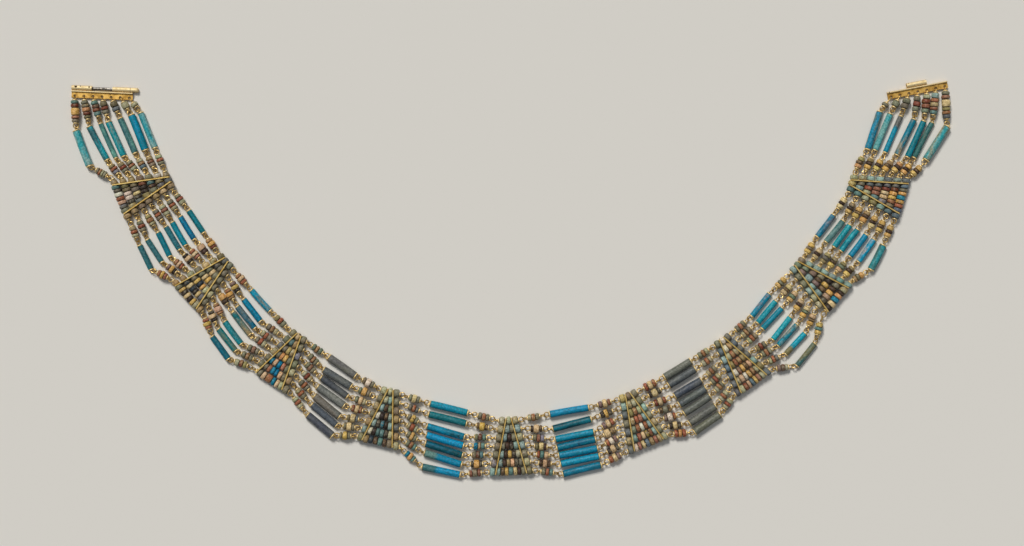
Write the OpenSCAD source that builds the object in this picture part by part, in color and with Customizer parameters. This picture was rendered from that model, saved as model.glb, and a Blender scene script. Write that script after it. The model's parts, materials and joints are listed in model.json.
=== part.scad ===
// A faience bead collar of seven strands, laid open in an arc on a table.
// Millimetres. +X runs to the right, +Y to the clasp ends, +Z up from the table.
// Strand 1 is the outermost and strand 7 the one next to the neck.
// Sections 1 to 10 hold the loose links, and panels 1 to 9 lie between them, left to right.

/* [Bead panels] */
// Distance between neighbouring rows of a panel
row_pitch = 3.8; // [3.7:0.05:3.85]
// Diameter of the beads in a panel
panel_bead_d = 3.9; // [3.88:0.02:4]
// Angle between a spacer bar and its panel's axis, in degrees
flare = 13.2; // [11:0.2:15]
// Distance from a panel's axis to a spacer bar at the innermost row
inner_half_gap = 1.4; // [1.3:0.1:1.8]
// How far the bead outside a spacer bar reaches past it
outer_bead_reach = 2.4; // [2:0.1:2.8]
// Thickness of a spacer bar
spacer_t = 0.5; // [0.4:0.05:0.6]
// Height of a spacer bar above the table
spacer_h = 4.1; // [3.9:0.1:4.4]
// How far a spacer bar reaches past the middle of its end rows
spacer_over = 1.1; // [0.8:0.1:1.6]

/* [Loose beads] */
// Diameter of the ring beads in the clusters
ring_bead_d = 3.4; // [3:0.1:3.5]
// Length that a ring bead takes up in the clusters beside a clasp
ring_bead_pitch = 2.2; // [1.8:0.1:2.6]
// Depth of the groove between two ring beads
groove = 0.25; // [0.1:0.05:0.4]
// Diameter of the bore through every bead
bore_d = 1.2; // [1.1:0.05:1.3]

/* [Strand wire] */
// Diameter of the wire tube that stands for the linked loops
wire_d = 0.8; // [0.6:0.05:0.9]
// Length of wire between a cluster and the next tube or panel, beside a clasp
link_gap = 3.9; // [3:0.1:4.5]

/* [Clasp] */
// Length of a clasp plate
plate_l = 27.5; // [27:0.5:30]
// Width of a clasp plate from its free edge to the ridge
plate_w = 2.7; // [2.4:0.1:3]
// Thickness of a clasp plate
plate_t = 0.7; // [0.5:0.1:0.7]
// Height of a clasp plate's underside above the table, with room for the wire under it
plate_lift = 0.5; // [0.4:0.05:0.55]
// Height of the ridge along a clasp plate, from the plate's underside, and its width
ridge = [1.5, 0.6]; // [0.5:0.1:1.6]
// Distance between neighbouring strand holes in a clasp plate
hole_pitch = 4.1; // [4:0.05:4.2]
// Diameter of the strand holes
hole_d = 1.3; // [1.2:0.05:1.4]
// Outside diameter of the hinge knuckles
knuckle_d = 2.2; // [2:0.1:2.4]
// Length of the single knuckle on the right half
knuckle_l = 9; // [8:0.2:9.2]
// Length of the space for it between the two knuckles on the left half
knuckle_space = 9.4; // [9.4:0.2:10]
// Diameter of the knuckle bores
pin_bore_d = 1.3; // [1.25:0.05:1.4]
// Diameter of the clasp pin
pin_d = 1.2; // [1.1:0.05:1.2]

/* [Hidden] */
SECTIONS = 10;
PANELS = 9;
STRANDS = 7;
MIDDLE_ROW = 4;

// Panels: place of the middle row's centre in x and y, and turn of the axis from outside to inside
panels = [
    [-164.7, 40.1, 21.5],
    [-136.8, 0.1, 43],
    [-101.8, -35.6, 57],
    [-56.9, -62.0, 76],
    [-0.3, -75.2, 92.6],
    [57.4, -63.2, 112.5],
    [102.1, -37.1, 125.5],
    [137.9, -1.3, 139],
    [164.7, 39.6, 163]
];

// Clasp halves: place of the middle strand hole in x and y, and turn of the plate
left_clasp = [-184, 81.9, -2.5];
right_clasp = [183.5, 84.2, 10.9];

// Sections: length and diameter of the tube beads, length of the cluster before them and of the
// cluster after them, how far the tubes lie past the middle on strand 1 and on strand 7, and how
// far the cluster before them lies past the middle of its wire
sections = [
    [16.6, 2.9, 0, 4.4, 2.2, -1.8, 0],
    [11.6, 2.6, 4.3, 4.4, 1.4, 0.2, 0],
    [12.1, 2.8, 4.4, 5.2, 0.6, 0.2, 0],
    [14.1, 3.5, 4.4, 4.8, 1.9, -0.3, 0],
    [17.1, 3.2, 4.3, 4.5, 0.1, -0.1, 0],
    [17.4, 3.2, 4.6, 5.0, 0, 0, 0],
    [13.6, 3.5, 5.0, 4.6, 0.3, 0.6, -0.3],
    [12.5, 2.6, 4.6, 4.6, -1.0, -0.6, -0.3],
    [11.9, 2.7, 4.6, 4.8, -1.4, -0.6, -1.0],
    [17.4, 2.8, 4.8, 0, -2.6, 2.4, -0.7]
];

// How far each tube lies outside the straight line between its strand's ends, strand 1 to 7
bow = [
    [6.6, 3.1, 2.3, 2.4, 0.7, -0.6, -1.15],
    [4.4, 3.2, 2.0, 1.0, 1.5, 0.8, -0.2],
    [5.1, 4.3, 4.0, 2.2, 2.7, 2.4, 0.4],
    [5.3, 4.3, 4.1, 3.2, 2.8, 2.5, 0.8],
    [5.5, 3.9, 3.6, 3.4, 3.3, 1.4, 0.5],
    [4.3, 3.9, 4.0, 4.1, 4.3, 2.8, 0.7],
    [5.0, 4.4, 3.2, 2.9, 2.5, 0.7, 0.5],
    [7.4, 4.5, 3.2, 3.0, 0.7, 0.8, 0.5],
    [3.7, 1.9, 1.5, 0.8, 0.9, 0.8, -0.1],
    [6.3, 3.9, 4.1, 3.1, 1.0, -0.2, -0.7]
];

// How far each tube is turned from that line, in degrees, strand 1 to 7
tilt = [
    [-4, 3, -1, -1, -2, -4, -4],
    [-10, -3, -10, -5, -6, -4, -2],
    [-6, -4, -6, -5, -4, -5, -1],
    [-7, -7, -6, -3, -3, 1, -3],
    [4, -2, -2, -1, -1, 1, 1],
    [2, 0, -1, 1, -0.5, 3, -2],
    [4, 3, 3, 1, 0, 1, 1],
    [5, 1, 2, 6, 1, 4, 6],
    [8, 0, -2, -3, -1, -4, -3],
    [-10, -4, -1, -2, 1, 2, 7]
];

// Tube beads that are thicker or thinner than their section's: section, strand, change in diameter
odd_tubes = [
    [1, 1, 0.5],
    [1, 3, -0.6],
    [1, 6, 0.6],
    [4, 2, -0.5],
    [4, 5, -0.5],
    [9, 1, 0.6],
    [10, 1, 0.7],
    [10, 2, -0.4],
    [10, 5, -0.5],
    [10, 7, 0.3]
];

// Clusters that lie off the middle of their wire: section, 1 before its tube or 2 after it,
// strand, how far along the wire and how far outside it
odd_clusters = [
    [1, 2, 2, 0, 0.2],
    [1, 2, 4, 0, -0.2],
    [2, 2, 5, 0, -0.15],
    [3, 1, 4, -1.2, 0.1],
    [3, 1, 5, 0, -0.2],
    [4, 1, 2, 0, 0.1],
    [4, 1, 6, 0, -0.15],
    [5, 1, 2, 0, 0.15],
    [5, 1, 3, 0, 0.1],
    [6, 1, 2, 0, 0.2],
    [6, 1, 3, 0, 0.2],
    [6, 2, 5, 0, -0.15],
    [9, 1, 7, 0.4, -0.1],
    [10, 1, 1, 0, 0.6],
    [10, 1, 2, 0, 0.4],
    [10, 1, 3, 0, -0.35],
    [10, 1, 4, 0, -0.35],
    [10, 1, 7, 0, -0.5]
];

// Share of a cluster's length that each of its ring beads takes
even_beads = [0.32, 0.36, 0.32];
thin_middle = [0.37, 0.26, 0.37];
thick_middle = [0.28, 0.44, 0.28];

// Place of the knuckle's and the pin's centre line, from the strand holes and from the table
knuckle_up = 3.6;
knuckle_z = knuckle_d / 2;
plate_low = -0.95;
plate_edge = 0.15;

// Clasp pin: where its tip and its head start, the head's length and the width of its split
pin_tip = -13.4;
pin_head = 12.7;
pin_head_l = 3.6;
pin_split = 0.2;
left_knuckles = [-13.75, 12.6];

// Heights of the wire: in a panel's rows, in a cluster, and at its ends in the clasp's strand holes
row_z = panel_bead_d / 2;
ring_z = ring_bead_d / 2;
wire_end_z = plate_lift + 0.1;

core_d = bore_d + 0.56;
slot_gap = 0.14;
cluster_from_hole = 1.9;
shortest_cluster = 1.8;
tube_edge = 0.15;
wire_sides = 8;
$fn = 40;

function unit(v) = v / norm(v);
function heading(a, b) = atan2(b[1] - a[1], b[0] - a[0]);
function ray(turn, d) = d * [cos(turn), sin(turn)];
function middle(a, b) = (a + b) / 2;
function at_height(p, z) = [p[0], p[1], z];
function sum(v, n = 0) = n < len(v) ? v[n] + sum(v, n + 1) : 0;
function part_sum(v, n) = n > 0 ? v[n - 1] + part_sum(v, n - 1) : 0;

// Panels
function panel_point(j, up, across) =
    let (p = panels[j - 1])
    [p[0], p[1]] + ray(p[2], up) + ray(p[2] - 90, across);
function row_up(k) = (k - MIDDLE_ROW) * row_pitch;
function half_gap(k) = inner_half_gap + (STRANDS - k) * row_pitch * tan(flare);
function half_row(k) = half_gap(k) + outer_bead_reach;
function row_end(j, k, side) = panel_point(j, row_up(k), side * half_row(k));

// Strand holes of the clasp
function clasp_point(c, across, up) = [c[0], c[1]] + ray(c[2], across) + ray(c[2] + 90, up);
function left_hole(k) = clasp_point(left_clasp, (k - MIDDLE_ROW) * hole_pitch, 0);
function right_hole(k) = clasp_point(right_clasp, (MIDDLE_ROW - k) * hole_pitch, 0);

// Ends of a strand's stretch in a section
function stretch_start(j, k) = j == 1 ? left_hole(k) : row_end(j - 1, k, 1);
function stretch_end(j, k) = j == SECTIONS ? right_hole(k) : row_end(j, k, -1);

// Tube beads
function tube_l(j) = sections[j - 1][0];
function tube_d(j, k) =
    sections[j - 1][1] + sum([for (odd = odd_tubes) if (odd[0] == j && odd[1] == k) odd[2]]);
function tube_slide(j, k) =
    let (s = sections[j - 1])
    s[4] + (s[5] - s[4]) * (k - 1) / (STRANDS - 1);
function tube_turn(j, k) = heading(stretch_start(j, k), stretch_end(j, k)) + tilt[j - 1][k - 1];
function tube_middle(j, k) =
    let (a = stretch_start(j, k), b = stretch_end(j, k), t = heading(a, b))
    middle(a, b) + ray(t, tube_slide(j, k)) + ray(t - 90, bow[j - 1][k - 1]);
function tube_start(j, k) = tube_middle(j, k) - ray(tube_turn(j, k), tube_l(j) / 2);
function tube_end(j, k) = tube_middle(j, k) + ray(tube_turn(j, k), tube_l(j) / 2);

// Clusters of ring beads: each lies on the line between the tube and the panel, or hangs
// close to the clasp plate and fills the wire down to the tube
function odd_cluster(j, side, k) =
    let (found = [for (odd = odd_clusters) if (odd[0] == j && odd[1] == side && odd[2] == k) odd])
    len(found) > 0 ? [found[0][3], found[0][4]] : [0, 0];
function cluster_on(a, b, l, off) =
    let (t = heading(a, b), m = middle(a, b) + ray(t, off[0]) + ray(t - 90, off[1]))
    [m - ray(t, l / 2), m + ray(t, l / 2)];
function hole_to_cluster(lean) =
    max(cluster_from_hole, (slot_gap - plate_low + ring_bead_d / 2 * sin(lean)) / cos(lean));
function cluster_by_hole(hole, tube, clasp_turn) =
    let (
        e = unit(tube - hole),
        lean = abs(heading(hole, tube) - clasp_turn + 90),
        start = hole_to_cluster(lean)
    )
    [hole + e * start, hole + e * max(start + shortest_cluster, norm(tube - hole) - link_gap)];
function turned_about(c) = [c[1], c[0]];
function first_cluster(j, k) = j == 1
    ? cluster_by_hole(left_hole(k), tube_start(1, k), left_clasp[2])
    : cluster_on(
        stretch_start(j, k), tube_start(j, k), sections[j - 1][2],
        [sections[j - 1][6], 0] + odd_cluster(j, 1, k)
    );
function last_cluster(j, k) = j == SECTIONS
    ? turned_about(cluster_by_hole(right_hole(k), tube_end(j, k), right_clasp[2]))
    : cluster_on(tube_end(j, k), stretch_end(j, k), sections[j - 1][3], odd_cluster(j, 2, k));
function bead_count(c) = max(1, round(norm(c[1] - c[0]) / ring_bead_pitch));
function equal_beads(n) = [for (i = [1:n]) 1 / n];
function first_shares(j, k) = j == 1
    ? equal_beads(bead_count(first_cluster(1, k)))
    : j == SECTIONS ? thin_middle : even_beads;
function last_shares(j, k) = j == SECTIONS
    ? equal_beads(bead_count(last_cluster(j, k)))
    : j == 4 || j == 5 ? thick_middle : j == 9 ? thin_middle : even_beads;

// The strand's wire, from hole to hole
function wire_route(k) = concat(
    [at_height(left_hole(k), wire_end_z), at_height(left_hole(k), ring_z)],
    [for (j = [1:SECTIONS]) each concat(
        j == 1 ? [] : [
            at_height(row_end(j - 1, k, 1), row_z),
            at_height(first_cluster(j, k)[0], ring_z)
        ],
        [
            at_height(first_cluster(j, k)[1], ring_z),
            at_height(tube_start(j, k), tube_d(j, k) / 2),
            at_height(tube_end(j, k), tube_d(j, k) / 2),
            at_height(last_cluster(j, k)[0], ring_z),
            at_height(last_cluster(j, k)[1], ring_z)
        ],
        j == SECTIONS ? [] : [at_height(row_end(j, k, -1), row_z)]
    )],
    [at_height(right_hole(k), ring_z), at_height(right_hole(k), wire_end_z)]
);
function flat_heading(route, i) =
    let (n = len(route), a = route[max(1, i - 1)], b = route[min(n - 2, i + 1)])
    i < 1 ? flat_heading(route, 1) : i > n - 2 ? flat_heading(route, n - 2) : heading(a, b);
function route_normal(route, i) =
    let (
        n = len(route),
        back = i > 0 ? unit(route[i] - route[i - 1]) : [0, 0, 0],
        on = i < n - 1 ? unit(route[i + 1] - route[i]) : [0, 0, 0]
    )
    unit(back + on);
function wire_ring(route, i) =
    let (
        h = flat_heading(route, i),
        side = [sin(h), -cos(h), 0],
        up = unit(cross(side, route_normal(route, i)))
    )
    [for (s = [0:wire_sides - 1])
        route[i] + wire_d / 2 * (side * cos(360 * s / wire_sides) + up * sin(360 * s / wire_sides))];

// Round piece with its axis along a line in the plan, at a height z
module laid(a, b, z) {
    translate([a[0], a[1], z])
        rotate([0, 0, heading(a, b)])
            rotate([0, 90, 0])
                children();
}

module place_on(p) {
    translate([p[0], p[1], 0])
        rotate([0, 0, p[2]])
            children();
}

// Drilled tube bead, turned, with its end edges taken off
module tube_bead(l, d) {
    r = d / 2;
    rotate_extrude()
        polygon([
            [bore_d / 2, 0], [r - tube_edge, 0], [r, tube_edge],
            [r, l - tube_edge], [r - tube_edge, l], [bore_d / 2, l]
        ]);
}

// Stack of drilled ring beads, turned in one, with a groove between neighbours
module ring_stack(l, shares) {
    r = ring_bead_d / 2;
    rotate_extrude()
        polygon(concat(
            [[bore_d / 2, 0]],
            [for (i = [0:len(shares) - 1]) each
                let (low = l * part_sum(shares, i), high = l * part_sum(shares, i + 1))
                [[r - groove, low], [r, low + groove], [r, high - groove], [r - groove, high]]
            ],
            [[bore_d / 2, l]]
        ));
}

module tube_beads(k) {
    for (j = [1:SECTIONS])
        color(j == 4 || j == 7 ? "slategray" : "deepskyblue")
            laid(tube_start(j, k), tube_end(j, k), tube_d(j, k) / 2)
                tube_bead(tube_l(j), tube_d(j, k));
}

module cluster(c, shares) {
    color("burlywood")
        laid(c[0], c[1], ring_z)
            ring_stack(norm(c[1] - c[0]), shares);
}

module ring_beads(k) {
    for (j = [1:SECTIONS]) {
        cluster(first_cluster(j, k), first_shares(j, k));
        cluster(last_cluster(j, k), last_shares(j, k));
    }
}

module strand_wire(k) {
    route = wire_route(k);
    n = len(route);
    points = [for (i = [0:n - 1]) each wire_ring(route, i)];
    walls = [for (i = [0:n - 2]) each [for (s = [0:wire_sides - 1])
        let (t = (s + 1) % wire_sides, low = i * wire_sides, high = low + wire_sides)
        [low + s, high + s, high + t, low + t]]];
    start_cap = [for (s = [0:wire_sides - 1]) s];
    end_cap = [for (s = [wire_sides - 1:-1:0]) (n - 1) * wire_sides + s];
    color("goldenrod")
        polyhedron(points, concat([start_cap], walls, [end_cap]));
}

// Round rod along one row of a panel, in the panel's own frame
module row_rod(k, d, reach) {
    translate([row_up(k), reach, row_z])
        rotate([90, 0, 0])
            cylinder(d = d, h = 2 * reach);
}

// A spacer bar's strip, in the panel's own frame; side is 1 on the right and -1 on the left
module spacer_strip(side, t, h) {
    l = (2 * row_up(STRANDS) + 2 * spacer_over) / cos(flare);
    translate([0, -side * half_gap(MIDDLE_ROW), 0])
        rotate([0, 0, side * flare])
            translate([-l / 2, -t / 2, 0])
                cube([l, t, h]);
}

// Space that a spacer bar needs in its panel
module bar_slot(side) {
    l = 2 * row_up(STRANDS) + 2 * panel_bead_d;
    translate([0, -side * half_gap(MIDDLE_ROW), 0])
        rotate([0, 0, side * flare])
            translate([-l / 2, -spacer_t / 2 - slot_gap, -1])
                cube([l, spacer_t + 2 * slot_gap, spacer_h + 2]);
}

// Seven rows of ring beads, fused where they touch, with the outer beads past the spacer bars
module bead_panel(j) {
    color("tan")
        place_on(panels[j - 1])
            difference() {
                union() {
                    difference() {
                        for (k = [1:STRANDS])
                            row_rod(k, panel_bead_d, half_row(k));
                        for (side = [-1, 1])
                            bar_slot(side);
                    }
                    for (k = [1:STRANDS])
                        row_rod(k, core_d, half_row(k));
                }
                for (k = [1:STRANDS])
                    row_rod(k, bore_d, half_row(k) + 1);
            }
}

// The two drilled bars of a panel
module spacer_bars(j) {
    color("gold")
        place_on(panels[j - 1])
            for (side = [-1, 1])
                difference() {
                    spacer_strip(side, spacer_t, spacer_h);
                    for (k = [1:STRANDS])
                        row_rod(k, core_d + 2 * slot_gap, half_row(k));
                }
}

// Plate of a clasp half with its ridge and strand holes, in the clasp's own frame
module clasp_plate() {
    high = plate_low + plate_w;
    difference() {
        translate([-plate_l / 2, 0, plate_lift])
            rotate([90, 0, 90])
                linear_extrude(plate_l)
                    polygon([
                        [plate_low, plate_edge], [plate_low + plate_edge, 0],
                        [high + ridge[1], 0], [high + ridge[1], ridge[0] - plate_edge],
                        [high + ridge[1] - plate_edge, ridge[0]], [high + plate_edge, ridge[0]],
                        [high, ridge[0] - plate_edge], [high, plate_t],
                        [plate_low + plate_edge, plate_t], [plate_low, plate_t - plate_edge]
                    ]);
        for (k = [1:STRANDS])
            translate([(k - MIDDLE_ROW) * hole_pitch, 0, plate_lift - 1])
                cylinder(d = hole_d, h = plate_t + 2);
    }
}

// Knuckle between two places along the plate, with the sheet that carries it
module knuckle(from, to) {
    translate([from, knuckle_up, knuckle_z])
        rotate([0, 90, 0])
            cylinder(d = knuckle_d, h = to - from);
    translate([from, plate_low + plate_w, plate_lift])
        cube([to - from, knuckle_up - plate_low - plate_w, knuckle_z - plate_lift]);
}

module knuckle_bore() {
    translate([-plate_l, knuckle_up, knuckle_z])
        rotate([0, 90, 0])
            cylinder(d = pin_bore_d, h = 2 * plate_l);
}

module clasp_left() {
    color("gold")
        place_on(left_clasp)
            difference() {
                union() {
                    clasp_plate();
                    knuckle(left_knuckles[0], -knuckle_space / 2);
                    knuckle(knuckle_space / 2, left_knuckles[1]);
                }
                knuckle_bore();
            }
}

module clasp_right() {
    color("gold")
        place_on(right_clasp)
            difference() {
                union() {
                    clasp_plate();
                    knuckle(-knuckle_l / 2, knuckle_l / 2);
                }
                knuckle_bore();
            }
}

// Split pin, pushed home in the left half, with its head outside the last knuckle
module clasp_pin() {
    r = pin_d / 2;
    shank = pin_head - pin_tip;
    total = shank + pin_head_l;
    head_r = knuckle_d / 2;
    edge = 0.3;
    round_end = 0.6;
    color("darkgray")
        place_on(left_clasp)
            translate([pin_tip, knuckle_up, knuckle_z])
                difference() {
                    rotate([0, 90, 0])
                        rotate_extrude()
                            polygon([
                                [0, 0], [r - edge / 2, 0], [r, edge], [r, shank],
                                [head_r - edge, shank], [head_r, shank + edge],
                                [head_r, total - round_end], [head_r - round_end, total], [0, total]
                            ]);
                    translate([-1, -pin_split / 2, -pin_d])
                        cube([shank, pin_split, 2 * pin_d]);
                }
}

clasp_left();
clasp_right();
clasp_pin();
for (k = [1:STRANDS]) {
    tube_beads(k);
    ring_beads(k);
    strand_wire(k);
}
for (j = [1:PANELS]) {
    bead_panel(j);
    spacer_bars(j);
}
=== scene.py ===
import json
import math

import bmesh
import bpy
import numpy as np
from mathutils import Matrix, Vector


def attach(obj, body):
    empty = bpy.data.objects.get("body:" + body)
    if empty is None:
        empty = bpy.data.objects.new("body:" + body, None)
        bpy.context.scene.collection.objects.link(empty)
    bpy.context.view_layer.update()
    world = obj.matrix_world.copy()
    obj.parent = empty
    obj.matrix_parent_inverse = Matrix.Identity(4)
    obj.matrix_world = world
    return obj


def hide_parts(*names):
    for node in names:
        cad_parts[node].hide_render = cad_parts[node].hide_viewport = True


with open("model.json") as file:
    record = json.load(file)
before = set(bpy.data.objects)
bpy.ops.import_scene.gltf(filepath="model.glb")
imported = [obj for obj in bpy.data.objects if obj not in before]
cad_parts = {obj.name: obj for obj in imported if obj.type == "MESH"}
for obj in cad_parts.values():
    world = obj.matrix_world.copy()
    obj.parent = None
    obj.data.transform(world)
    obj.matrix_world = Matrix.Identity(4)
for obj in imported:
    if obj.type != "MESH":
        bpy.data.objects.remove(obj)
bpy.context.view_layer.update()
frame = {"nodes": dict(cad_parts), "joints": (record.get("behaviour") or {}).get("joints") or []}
print("frame loaded,", len(frame["nodes"]), "nodes")

# Lengths are millimetres until a mesh is made. Every bead's place is read from the frame's nodes.
mm = 0.001
sectionCount = 10
allPanels = range(1, sectionCount)   # one between each two sections
allStrands = range(1, 8)   # 1 is the outermost strand, 7 the one next to the neck
arcMiddle = np.array([0.0, 100.0])   # the strands are read from left to right round this point
random = np.random.default_rng(11)
anyTurn = (0, 6.3)   # radians, for a random turn

# Glazes by the letters of the charts, as they look in daylight
glaze = {
    # ring beads
    "s": "#8c8d75",   # sage
    "S": "#b9ba9a",   # pale sage
    "e": "#84957c",   # sage green
    "g": "#747a7c",   # blue-grey
    "G": "#88826f",   # warm grey
    "t": "#6b8f8a",   # teal-grey
    "T": "#9cb6b0",   # pale teal
    "c": "#3b94b0",   # cyan
    "b": "#6b7d89",   # blue
    "B": "#1786ac",   # bright blue
    "d": "#37444f",   # dark blue-grey
    "k": "#3a302c",   # dark
    "K": "#4e3c34",   # dark brown
    "w": "#f4e6d2",   # white
    "W": "#eacfa0",   # cream
    "P": "#e2be9c",   # cream pink
    "p": "#bb8570",   # pink
    "m": "#9f6c58",   # brown pink
    "l": "#9296a8",   # lavender grey
    "y": "#eac47a",   # yellow
    "Y": "#e8b978",   # orange yellow
    "x": "#cfb97c",   # lemon
    "z": "#b39b3c",   # mustard
    "f": "#8e7771",   # dusty mauve
    "o": "#d8a576",   # orange
    "n": "#b59a70",   # tan
    "N": "#968670",   # tan-grey
    "r": "#8e5446",   # red
    "R": "#ad6b54",   # orange red
    "q": "#7e4936",   # red-brown
    "v": "#807a58",   # olive
    "V": "#a89a6a",   # olive yellow
    # tube beads
    "A": "#0893ba",   # azure
    "Z": "#106a88",   # deep azure
    "D": "#134f5b",   # dark teal
    "E": "#267880",   # teal
    "C": "#1d8499",   # cyan-teal
    "H": "#467377",   # grey-teal
    "L": "#46aab6",   # light turquoise
    "M": "#7fb5a6",   # mint
    "j": "#565e66",   # dark slate
    "h": "#7a7b70",   # greenish slate
    "i": "#8a8c86",   # light slate
    "u": "#6b6e6b",   # slate
}
bodyPaste = "#c7b793"   # the pale quartz paste under every glaze


def linearColour(hexText):
    channels = [int(hexText[i:i + 2], 16) / 255 for i in (1, 3, 5)]
    return [c / 12.92 if c <= 0.04045 else ((c + 0.055) / 1.055) ** 2.4 for c in channels] + [1.0]


# Reading the frame. weld is how near in mm two points are one, barFoot and wireFoot how near to the lowest
# they count as its foot. A bead's axis is looked for within turnReach degrees, turnStep apart, and a wrong
# width counts widthWeight times against the size of the box round the bead.

reading = {
    "weld": 0.001, "barFoot": 0.01, "wireFoot": 0.02,
    "turnReach": 88, "turnStep": 0.25, "widthWeight": 10,
}


def islandsOf(nodeName):
    # the separate solids of a node, each as an array of its points
    bm = bmesh.new()
    bm.from_mesh(frame["nodes"][nodeName].data)
    bmesh.ops.remove_doubles(bm, verts=bm.verts, dist=reading["weld"] * mm)
    islands, seen = [], set()
    for first in bm.verts:
        if first in seen:
            continue
        seen.add(first)
        reached = [first]
        for vert in reached:
            for edge in vert.link_edges:
                other = edge.other_vert(vert)
                if other not in seen:
                    seen.add(other)
                    reached.append(other)
        islands.append(np.array([v.co[:] for v in reached]) / mm)
    bm.free()
    return islands


def unit(vector):
    return vector / np.linalg.norm(vector)


def middle(values):
    return (values.min() + values.max()) / 2


def roundAngle(point):
    return math.atan2(point[1] - arcMiddle[1], point[0] - arcMiddle[0])


def lyingBead(points):
    # the tightest box round a turned solid lies along its axis and is as wide as the solid is high
    radius = np.ptp(points[:, 2]) / 2
    turns = np.radians(np.arange(-reading["turnReach"], reading["turnReach"], reading["turnStep"]))
    headings = roundAngle(points.mean(0)) + math.pi / 2 + turns
    across = np.ptp(points[:, :2] @ np.stack([-np.sin(headings), np.cos(headings)]), axis=0)
    along = np.ptp(points[:, :2] @ np.stack([np.cos(headings), np.sin(headings)]), axis=0)
    best = np.argmin(across * along + reading["widthWeight"] * abs(across - 2 * radius))
    axis = np.array([math.cos(headings[best]), math.sin(headings[best]), 0.0])
    side = np.array([-axis[1], axis[0], 0.0])
    along = points @ axis
    centre = axis * middle(along) + side * middle(points @ side)
    centre[2] = middle(points[:, 2])
    return {"centre": centre, "axis": axis, "half": np.ptp(along) / 2, "radius": radius}


def beadsOf(nodeName):
    beads = [lyingBead(points) for points in islandsOf(nodeName)]
    return sorted(beads, key=lambda bead: roundAngle(bead["centre"]))


# A panel's rows, counted like the strands, and how far the bead outside a bar reaches from the bar
panelSizes = {"rowPitch": 3.8, "middleRow": 4, "rowHeight": 1.95, "outerReach": 2.4}


def panelOf(j):
    # a panel's place and the slant of its bars, from the feet of its two bars
    bars = sorted(islandsOf(f"spacer_bars_{j}"), key=lambda points: roundAngle(points.mean(0)))
    corners = [bar[bar[:, 2] < reading["barFoot"]] for bar in bars]
    left, right = [np.append(foot[:, :2].mean(0), 0.0) for foot in corners]
    across = unit(right - left)
    up = np.array([-across[1], across[0], 0.0])
    spread = corners[1][:, :2] - right[:2]
    barHeading = np.append(np.linalg.svd(spread)[2][0], 0.0)
    return {
        "centre": (left + right) / 2,
        "across": across,
        "up": up,
        "halfGap": np.linalg.norm(right - left) / 2,
        "flare": abs(barHeading @ across / (barHeading @ up)),
    }


tubes = {k: beadsOf(f"tube_beads_{k}") for k in allStrands}
clusters = {k: beadsOf(f"ring_beads_{k}") for k in allStrands}
panels = {j: panelOf(j) for j in allPanels}


def claspHoles(k):
    # the wire's ends stand in the strand holes, lower than the rest of it
    points = np.concatenate(islandsOf(f"strand_wire_{k}"))
    ends = points[points[:, 2] < points[:, 2].min() + reading["wireFoot"]]
    return [ends[ends[:, 0] * side > 0].mean(0) for side in (-1, 1)]


holes = {k: claspHoles(k) for k in allStrands}
print("beads read,", sum(map(len, tubes.values())), "tubes,", sum(map(len, clusters.values())), "clusters")


# Charts of the beads, strand 1 to strand 7, each read from left to right. 1A and 1B are the clusters
# at the left and right of section 1's tube beads.
# "+" after a letter is a long bead, "*" a slightly long one, "-" a short one and "^" one that narrows
# outwards.

clusterChart = {
    "1A": ["tqY+ps", "sno+qv", "tqrt", "v+rG", "v+g", "S", "S"],
    "1B": ["sRSs", "VRl", "Vre", "sRS", "SRb", "nmN", "SRs"],
    "2A": ["SRS", "sRs", "VR+S", "gRG", "SmS", "GRS", "sRS"],
    "2B": ["RYm", "fYk", "RPR", "kWk", "RWp", "PK", "oYr"],
    "3A": ["RyR", "kWk", "RP+R", "YK", "RYr", "fyk", "RPR"],
    "3B": ["SrV", "GrG", "GmG", "GRS", "SRG", "GrS", "VRG"],
    "4A": ["SRS", "SRG", "GRG", "SrS", "sms", "sRe", "eRe"],
    "4B": ["sy+s", "sW+s", "vW+g", "rWr", "eWS", "sy+G", "Nw+G"],
    "5A": ["cYt", "srt", "sYs", "SR+S", "sys", "gRg", "sWG"],
    "5B": ["ms+m", "kY+k", "sqt", "c+nt+", "sqt", "Ky+K", "GRs"],
    "6A": ["GRt", "KPK", "Rt+P", "vWK", "Gml", "KW+K", "SRs"],
    "6B": ["RWf", "kWk", "Rwf", "WK+", "fWR", "kY-k", "fWm"],
    "7A": ["RoR", "kWk", "fw+R", "Ks+K", "rWr", "kW+k", "RWR"],
    "7B": ["SRS", "SRS", "SRG", "GRS", "SRs", "SRS", "GRS"],
    "8A": ["fqS", "SRg", "sRs", "VrG", "SRs", "SRs", "GRs"],
    "8B": ["yty", "yKW", "yeW", "yKW", "yeP", "WKW", "ysy"],
    "9A": ["nvY", "yKn", "WeV", "yKV", "VgV", "WKW", "yNy"],
    "9B": ["yKY", "yKy", "WKy", "YKn", "yK-y", "yKn", "WKW"],
    "10A": ["yKy", "YKY", "yKo", "yKn", "yKy", "yKV", "oKV"],
    "10B": ["gRVW+ms", "tmWRT", "emrS", "ere", "Gs", "s", "G"],
}

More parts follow.
